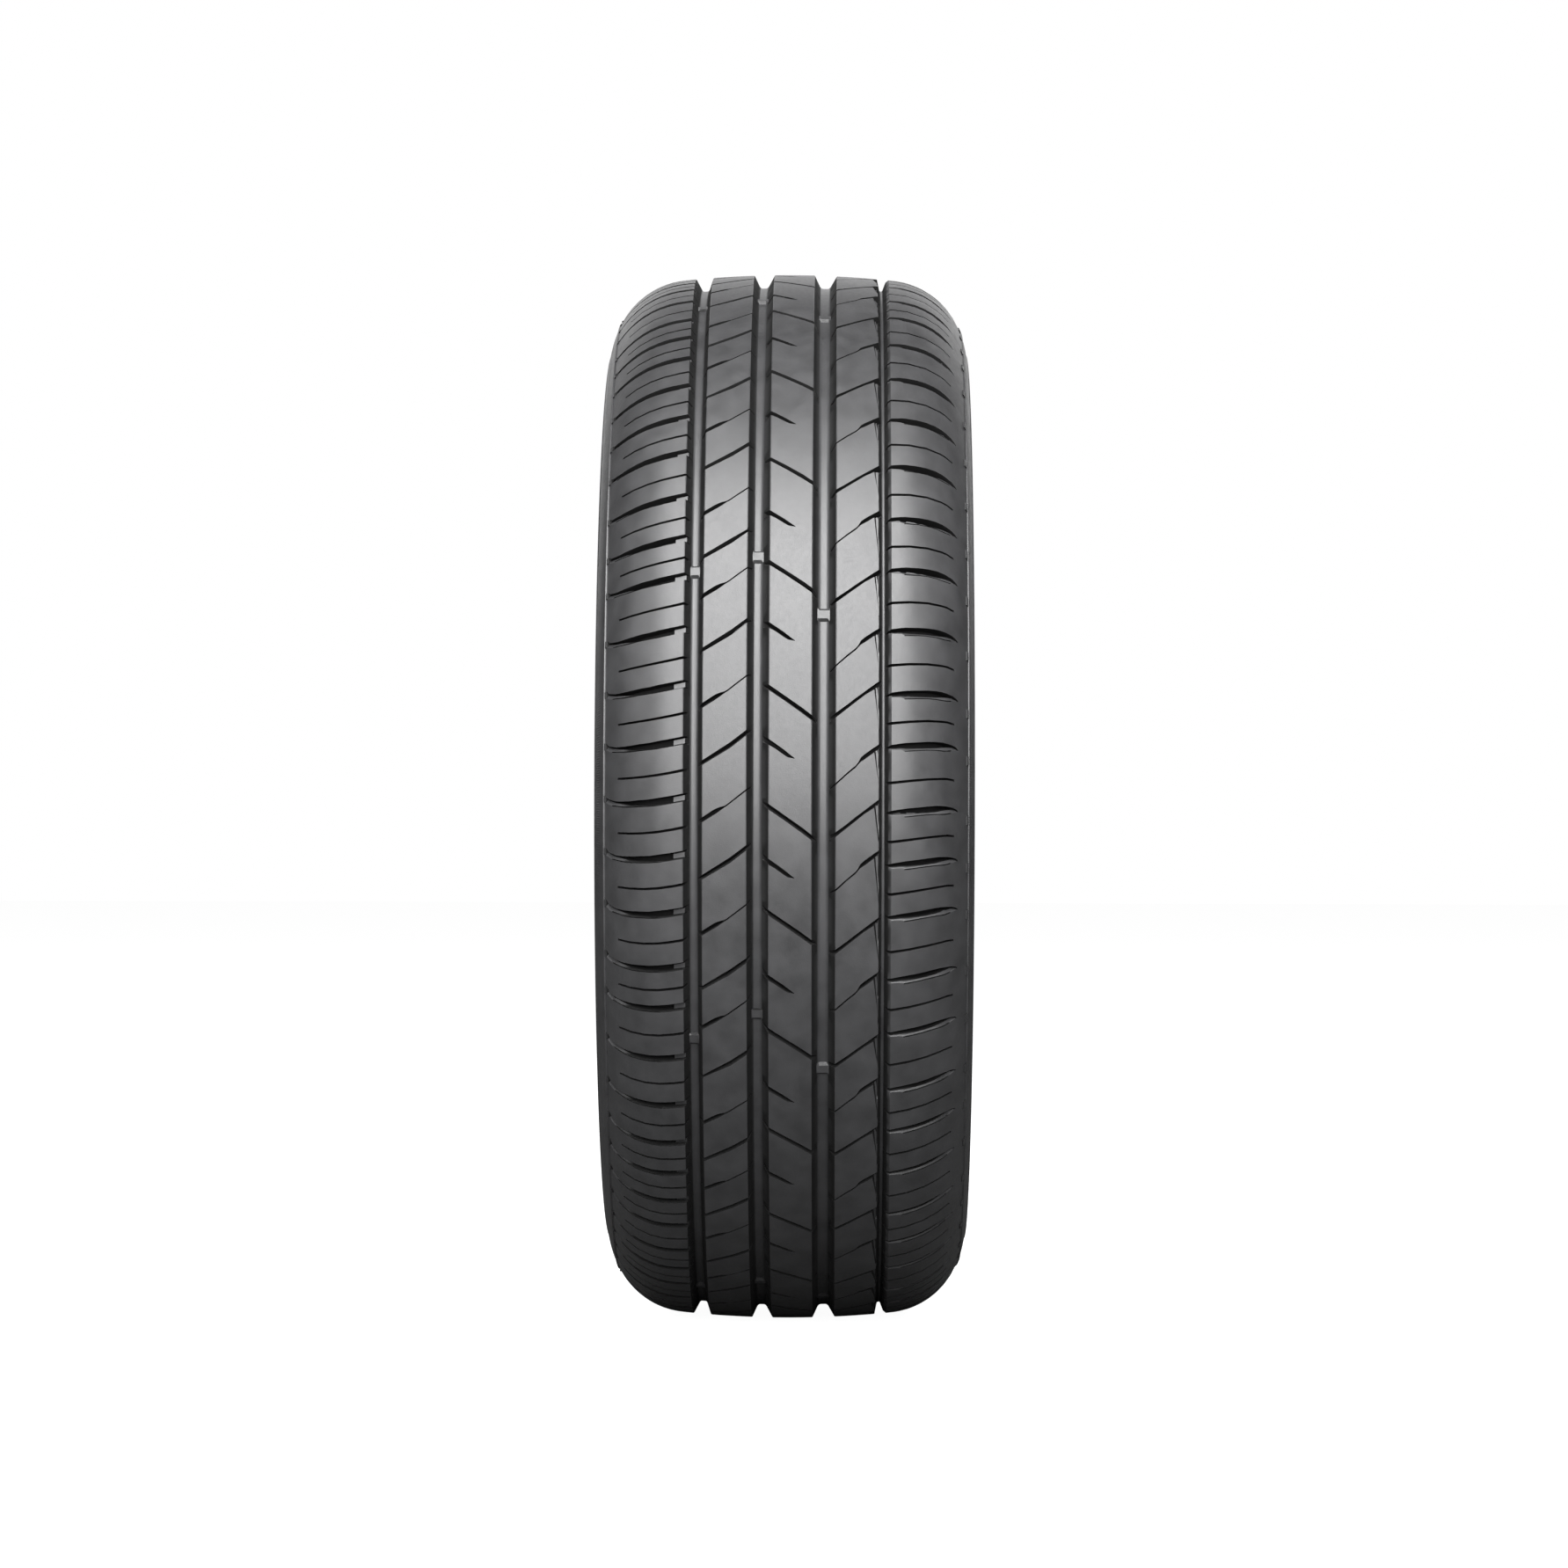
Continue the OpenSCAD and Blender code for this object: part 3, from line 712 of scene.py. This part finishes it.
def tread_mesh():
    """Vertices, outward normals, depths and triangles of the tread, out to the mould ridges."""
    sheet, ends = tread_sheet()
    flat, _, faces, _, _, owners = delaunay_2d_cdt(
        sheet.points, sheet.edges, sheet.faces, 0, SNAP, True)
    depth = [0.0] * len(flat)
    cap = [None] * len(flat)
    kept = []
    for tri, owner in zip(faces, owners):
        for f in owner:
            level = sheet.levels[f]
            for v in tri:
                if isinstance(level, tuple):
                    cap[v] = level[1]
                else:
                    depth[v] = max(depth[v], level)
        mid_u = sum(flat[v][0] for v in tri) / 3
        mid_s = sum(flat[v][1] for v in tri) / 3
        if ends[0] < mid_u < ends[1] and 0 < mid_s < ROUND:
            kept.append(tri)
    places, outs, sunks, shades = [], [], [], []
    for (u, s), d, c in zip(flat, depth, cap):
        sunk = max(groove_depth(u), d)
        if c is not None:
            sunk = min(sunk, c)
        place, out = place_at(max(ends[0], min(ends[1], u)), s, sunk)
        places.append(place)
        outs.append(out)
        sunks.append(sunk)
        # Painted shade that darkens the deep parts of the recesses
        shades.append(min(1.0, max(0.0, (min(d, sunk) - SHADE_FROM) / SHADE_RUN)))
    return places, outs, sunks, shades, kept


def wall_mesh(side):
    """Vertices and faces of one sidewall, bead and half of the liner."""
    line = side_line(side)
    places, faces = [], []
    for u, r in line:
        for k in range(STEPS_ROUND):
            turn = 2 * math.pi * k / STEPS_ROUND
            places.append((r * math.cos(turn) * MM, side * u * MM, -r * math.sin(turn) * MM))
    for i in range(len(line) - 1):
        for k in range(STEPS_ROUND):
            a, b = i * STEPS_ROUND + k, i * STEPS_ROUND + (k + 1) % STEPS_ROUND
            quad = (a, b, b + STEPS_ROUND, a + STEPS_ROUND)
            faces.append(quad if side > 0 else quad[::-1])
    return places, faces


def mark_sharp(bm, sunk):
    """Sharp edges at every rim of the tops and wherever the surface turns hard."""
    for edge in bm.edges:
        if len(edge.link_faces) != 2:
            continue
        tops = [all(abs(v[sunk]) < FLAT for v in face.verts) for face in edge.link_faces]
        edge.smooth = tops[0] == tops[1] and edge.calc_face_angle(0.0) < SHARP


def add_attribute(mesh, name, kind, values):
    attribute = mesh.attributes.new(name, kind, "POINT")
    attribute.data.foreach_set("vector" if kind == "FLOAT_VECTOR" else "value", values)


def tyre_object():
    """Tread and both walls as one closed mesh, with the plain tread's normal, the depth and the painted
    shade of the recesses.
    """
    places, outs, sunks, shades, faces = tread_mesh()
    for side in (-1, 1):
        more, ring = wall_mesh(side)
        shift = len(places)
        places += more
        outs += [(0.0, 0.0, 0.0)] * len(more)
        sunks += [0.0] * len(more)
        shades += [0.0] * len(more)
        faces += [tuple(v + shift for v in face) for face in ring]
    mesh = bpy.data.meshes.new("tyre_rubber")
    used = sorted({v for face in faces for v in face})
    rank = {v: i for i, v in enumerate(used)}
    mesh.from_pydata([places[v] for v in used], [], [[rank[v] for v in face] for face in faces])
    add_attribute(mesh, "base", "FLOAT_VECTOR", [x for v in used for x in outs[v]])
    add_attribute(mesh, "sunk", "FLOAT", [sunks[v] for v in used])
    # Painted shade of the deep recesses, read by the rubber material
    add_attribute(mesh, "shade", "FLOAT", [shades[v] for v in used])
    bm = bmesh.new()
    bm.from_mesh(mesh)
    bmesh.ops.remove_doubles(bm, verts=bm.verts, dist=MERGE)
    bmesh.ops.dissolve_degenerate(bm, edges=bm.edges, dist=DEGENERATE)
    bmesh.ops.recalc_face_normals(bm, faces=bm.faces)
    print("open edges", sum(1 for e in bm.edges if len(e.link_faces) != 2), "faces", len(bm.faces),
          "triangles", sum(len(f.verts) - 2 for f in bm.faces))
    for face in bm.faces:
        face.smooth = True
    mark_sharp(bm, bm.verts.layers.float["sunk"])
    bm.to_mesh(mesh)
    bm.free()
    tyre = bpy.data.objects.new("tyre_rubber", mesh)
    bpy.context.scene.collection.objects.link(tyre)
    return tyre


# Camera, floor and lamps

# Camera: distance, lens and turns, and the place of the tyre's centre in the photo's pixels
CAMERA_FAR = 3.542
CAMERA_LENS = 133.6
CAMERA_SENSOR = 36
CAMERA_TURN = 0.47
CAMERA_TILT = 0.152
CAMERA_ROLL = 0.135
PHOTO = 1783
PHOTO_MIDDLE_X, PHOTO_MIDDLE_Y = 896.5, 905.6

# Floor: half its length, what it throws back at the tyre, what it shows to the camera; light all round
FLOOR_REACH = 12.0
FLOOR_BOUNCE = 0.06
FLOOR_SHOWN = 0.30
FLOOR_GLOW = 0.96
WORLD_FILL = 0.05


def add_camera():
    data = bpy.data.cameras.new("camera")
    data.sensor_width = CAMERA_SENSOR
    data.lens = CAMERA_LENS
    data.shift_x = (PHOTO / 2 - PHOTO_MIDDLE_X) / PHOTO
    data.shift_y = (PHOTO_MIDDLE_Y - PHOTO / 2) / PHOTO
    data.clip_start = 0.05
    data.clip_end = 60
    camera = bpy.data.objects.new("camera", data)
    bpy.context.scene.collection.objects.link(camera)
    turn, tilt = math.radians(CAMERA_TURN), math.radians(CAMERA_TILT)
    camera.location = Vector((
        math.cos(turn) * math.cos(tilt), math.sin(turn) * math.cos(tilt), math.sin(tilt))) * CAMERA_FAR
    camera.rotation_euler = (-camera.location).to_track_quat("-Z", "Y").to_euler()
    camera.rotation_euler.rotate_axis("Z", math.radians(CAMERA_ROLL))
    bpy.context.scene.camera = camera


def add_floor():
    """Pale floor that shows white to the camera and keeps the tyre's shadow."""
    square = ((-1, -1), (1, -1), (1, 1), (-1, 1))
    corners = [(x * FLOOR_REACH, y * FLOOR_REACH, CAD_LOW[2]) for x, y in square]
    mesh = bpy.data.meshes.new("floor")
    mesh.from_pydata(corners, [], [(0, 1, 2, 3)])
    floor = bpy.data.objects.new("floor", mesh)
    bpy.context.scene.collection.objects.link(floor)
    floor.data.materials.append(floor_material())


def node_of(tree, kind, **values):
    """New node with some of its inputs set, where an underscore in a name stands for a space."""
    node = tree.nodes.new(kind)
    for name, value in values.items():
        node.inputs[name.replace("_", " ")].default_value = value
    return node


def grey(value):
    return (value, value, value, 1)


def floor_material():
    """White to the camera with the shadow on it, and dark to the tyre."""
    mat = bpy.data.materials.new("floor_white")
    mat.use_nodes = True
    tree = mat.node_tree
    tree.nodes.clear()
    out = tree.nodes.new("ShaderNodeOutputMaterial")
    path = tree.nodes.new("ShaderNodeLightPath")
    bounce = node_of(tree, "ShaderNodeBsdfDiffuse", Color=grey(FLOOR_BOUNCE))
    shown = node_of(tree, "ShaderNodeBsdfDiffuse", Color=grey(FLOOR_SHOWN))
    glow = node_of(tree, "ShaderNodeEmission", Color=grey(1), Strength=FLOOR_GLOW)
    both = tree.nodes.new("ShaderNodeAddShader")
    tree.links.new(shown.outputs[0], both.inputs[0])
    tree.links.new(glow.outputs[0], both.inputs[1])
    mix = tree.nodes.new("ShaderNodeMixShader")
    tree.links.new(path.outputs["Is Camera Ray"], mix.inputs[0])
    tree.links.new(bounce.outputs[0], mix.inputs[1])
    tree.links.new(both.outputs[0], mix.inputs[2])
    tree.links.new(mix.outputs[0], out.inputs[0])
    return mat


def add_world():
    """White to the camera, and a little light from all round."""
    world = bpy.data.worlds.new("studio")
    world.use_nodes = True
    tree = world.node_tree
    tree.nodes.clear()
    out = tree.nodes.new("ShaderNodeOutputWorld")
    path = tree.nodes.new("ShaderNodeLightPath")
    fill = node_of(tree, "ShaderNodeBackground", Color=grey(1), Strength=WORLD_FILL)
    white = node_of(tree, "ShaderNodeBackground", Color=grey(1), Strength=1.0)
    mix = tree.nodes.new("ShaderNodeMixShader")
    tree.links.new(path.outputs["Is Camera Ray"], mix.inputs[0])
    tree.links.new(fill.outputs[0], mix.inputs[1])
    tree.links.new(white.outputs[0], mix.inputs[2])
    tree.links.new(mix.outputs[0], out.inputs[0])
    bpy.context.scene.world = world


# Lamps: name, azimuth from the camera's side, elevation, distance, width, height and brightness
LAMPS = (
    ("key_high", 0.0, 50.0, 3.2, 2.4, 2.3, 13.6),
    ("key_low", 1.5, 14.0, 3.9, 3.3, 2.1, 10.2),
    ("left", -54.0, 24.0, 3.6, 1.5, 3.0, 2.1),
    ("right", 48.0, 36.0, 3.6, 1.5, 2.4, 1.55),
    ("back", 180.0, 22.0, 3.4, 4.0, 2.2, 1.3),
)
WATTS_PER_AREA = 4


def add_lamps():
    for name, azimuth, elevation, far, width, height, level in LAMPS:
        data = bpy.data.lights.new(name, "AREA")
        data.shape = "RECTANGLE"
        data.size = width
        data.size_y = height
        data.energy = WATTS_PER_AREA * width * height * level
        lamp = bpy.data.objects.new(name, data)
        bpy.context.scene.collection.objects.link(lamp)
        a, e = math.radians(azimuth), math.radians(elevation)
        way = Vector((math.cos(a) * math.cos(e), math.sin(a) * math.cos(e), math.sin(e)))
        lamp.location = way * far
        lamp.rotation_euler = (-lamp.location).to_track_quat("-Z", "Y").to_euler()


# Materials

# Rubber: colour of the tops, painted shade colour of the recesses and steep walls, painted shade tint that
# dims their reflections, how much rougher they get, roughness and its unevenness, scales of the noises in
# waves a metre, shares of brightness, and height of the bumps in metres
TOP_COLOUR = (0.024, 0.024, 0.025, 1)
PAINTED_SHADE_COLOUR = (0.004, 0.004, 0.004, 1)
PAINTED_SHADE_TINT = (0.3, 0.3, 0.3, 1)
DULL_ROUGH = 0.4
ROUGH = (0.42, 0.48)
ROUGH_MOTTLE = 0.03
CLOUD_SCALE, MOTTLE_SCALE, GRAIN_SCALE = 70.0, 420.0, 1500.0
CLOUD_SHADE = (0.8, 1.2)
NOISE_RANGE = (0.3, 0.7)
BUMP_DEPTH = 0.00012
BUMP_STRENGTH = 0.35
MOTTLE_HEIGHT = 0.8
RIB_HEIGHT = 1.2

# Steepness, the mask of painted shade on walls: the cosine of the lean at which a wall's painted shade
# starts and is full, and the length of the stored normal from which a point counts as tread, as it is 0 on
# the sidewalls
LEAN = (0.82, 0.5)
ON_TREAD = (0.8, 0.9)

# Serrated band on the sidewalls: ribs round the tyre, offsets of its edges, and how soft they are
RIBS = 1300
BAND = (0.1035, 0.1052)
BAND_EDGE = 0.0003


def math_node(tree, operation, a, b=None, value=0.0):
    """Output of a math node on two sources, or on a source and a value."""
    node = tree.nodes.new("ShaderNodeMath")
    node.operation = operation
    node.inputs[1].default_value = value
    for k, source in enumerate((a, b)):
        if source is not None:
            tree.links.new(source, node.inputs[k])
    return node.outputs[0]


def range_node(tree, source, from_low, from_high, to_low, to_high):
    """Output of a node that maps one range to another and stays within it."""
    node = tree.nodes.new("ShaderNodeMapRange")
    for k, value in enumerate((from_low, from_high, to_low, to_high)):
        node.inputs[k + 1].default_value = value
    tree.links.new(source, node.inputs[0])
    return node.outputs[0]


def attribute(tree, name):
    node = tree.nodes.new("ShaderNodeAttribute")
    node.attribute_name = name
    return node


def noise(tree, coords, scale, detail):
    """Even noise from 0 to 1."""
    node = node_of(tree, "ShaderNodeTexNoise", Scale=scale, Detail=detail)
    tree.links.new(coords, node.inputs["Vector"])
    return node.outputs[0]


def mixed(tree, factor, a, b):
    """Colour between a and b."""
    node = tree.nodes.new("ShaderNodeMix")
    node.data_type = "RGBA"
    node.inputs["A"].default_value = a
    node.inputs["B"].default_value = b
    tree.links.new(factor, node.inputs["Factor"])
    return node.outputs["Result"]


def steepness(tree):
    """How far the surface leans from the plain tread, 0 on the tops and floors and 1 on steep walls, which
    get painted shade.
    """
    base = attribute(tree, "base")
    geometry = tree.nodes.new("ShaderNodeNewGeometry")
    dot = tree.nodes.new("ShaderNodeVectorMath")
    dot.operation = "DOT_PRODUCT"
    tree.links.new(base.outputs["Vector"], dot.inputs[0])
    tree.links.new(geometry.outputs["Normal"], dot.inputs[1])
    length = tree.nodes.new("ShaderNodeVectorMath")
    length.operation = "LENGTH"
    tree.links.new(base.outputs["Vector"], length.inputs[0])
    lean = range_node(tree, dot.outputs["Value"], *LEAN, 0.0, 1.0)
    on_tread = range_node(tree, length.outputs["Value"], *ON_TREAD, 0.0, 1.0)
    return math_node(tree, "MULTIPLY", lean, on_tread)


def serration(tree, coords):
    """Fine radial ribs on the narrow band between the mould ridge and the widest part."""
    parts = tree.nodes.new("ShaderNodeSeparateXYZ")
    tree.links.new(coords, parts.inputs[0])
    angle = math_node(tree, "ARCTAN2", parts.outputs["Z"], parts.outputs["X"])
    wave = math_node(tree, "SINE", math_node(tree, "MULTIPLY", angle, value=RIBS))
    off = math_node(tree, "ABSOLUTE", parts.outputs["Y"])
    inside = range_node(tree, off, BAND[0] - BAND_EDGE, BAND[0] + BAND_EDGE, 0.0, 1.0)
    outside = range_node(tree, off, BAND[1] - BAND_EDGE, BAND[1] + BAND_EDGE, 1.0, 0.0)
    return math_node(tree, "MULTIPLY", wave, math_node(tree, "MULTIPLY", inside, outside))


def rubber_material():
    """Satin black rubber with cloudy tops and fine grain, and painted shade that darkens steep walls and
    deep recesses, dims their reflections and roughens them.
    """
    mat = bpy.data.materials.new("rubber")
    mat.use_nodes = True
    tree = mat.node_tree
    shader = tree.nodes["Principled BSDF"]
    coords = tree.nodes.new("ShaderNodeTexCoord").outputs["Object"]
    # Mask of the painted shade: steep walls and the deep parts of the recesses
    dark = math_node(tree, "MAXIMUM", steepness(tree), attribute(tree, "shade").outputs["Fac"])
    cloud = noise(tree, coords, CLOUD_SCALE, 4.0)
    mottle = noise(tree, coords, MOTTLE_SCALE, 3.0)
    grain = noise(tree, coords, GRAIN_SCALE, 2.0)

    # Painted shade: darker base colour and dimmer reflections where the mask is set
    tint = tree.nodes.new("ShaderNodeHueSaturation")
    tree.links.new(mixed(tree, dark, TOP_COLOUR, PAINTED_SHADE_COLOUR), tint.inputs["Color"])
    tree.links.new(range_node(tree, cloud, *NOISE_RANGE, *CLOUD_SHADE), tint.inputs["Value"])
    tree.links.new(tint.outputs[0], shader.inputs["Base Color"])
    tree.links.new(mixed(tree, dark, grey(1), PAINTED_SHADE_TINT), shader.inputs["Specular Tint"])

    rough = range_node(tree, cloud, *NOISE_RANGE, *ROUGH)
    uneven = range_node(tree, mottle, *NOISE_RANGE, -ROUGH_MOTTLE, ROUGH_MOTTLE)
    rough = math_node(tree, "ADD", rough, uneven)
    rough = math_node(tree, "ADD", rough, math_node(tree, "MULTIPLY", dark, value=DULL_ROUGH))
    tree.links.new(rough, shader.inputs["Roughness"])

    height = math_node(tree, "ADD", grain, math_node(tree, "MULTIPLY", mottle, value=MOTTLE_HEIGHT))
    ribs = math_node(tree, "MULTIPLY", serration(tree, coords), value=RIB_HEIGHT)
    height = math_node(tree, "ADD", height, ribs)
    bump = node_of(tree, "ShaderNodeBump", Strength=BUMP_STRENGTH, Distance=BUMP_DEPTH)
    tree.links.new(height, bump.inputs["Height"])
    tree.links.new(bump.outputs[0], shader.inputs["Normal"])
    return mat


add_camera()
add_floor()
add_world()
add_lamps()
tyre = tyre_object()
tyre.data.materials.append(rubber_material())
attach(tyre, "root")
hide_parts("tyre")

scene = bpy.context.scene
scene.view_settings.view_transform = "Standard"
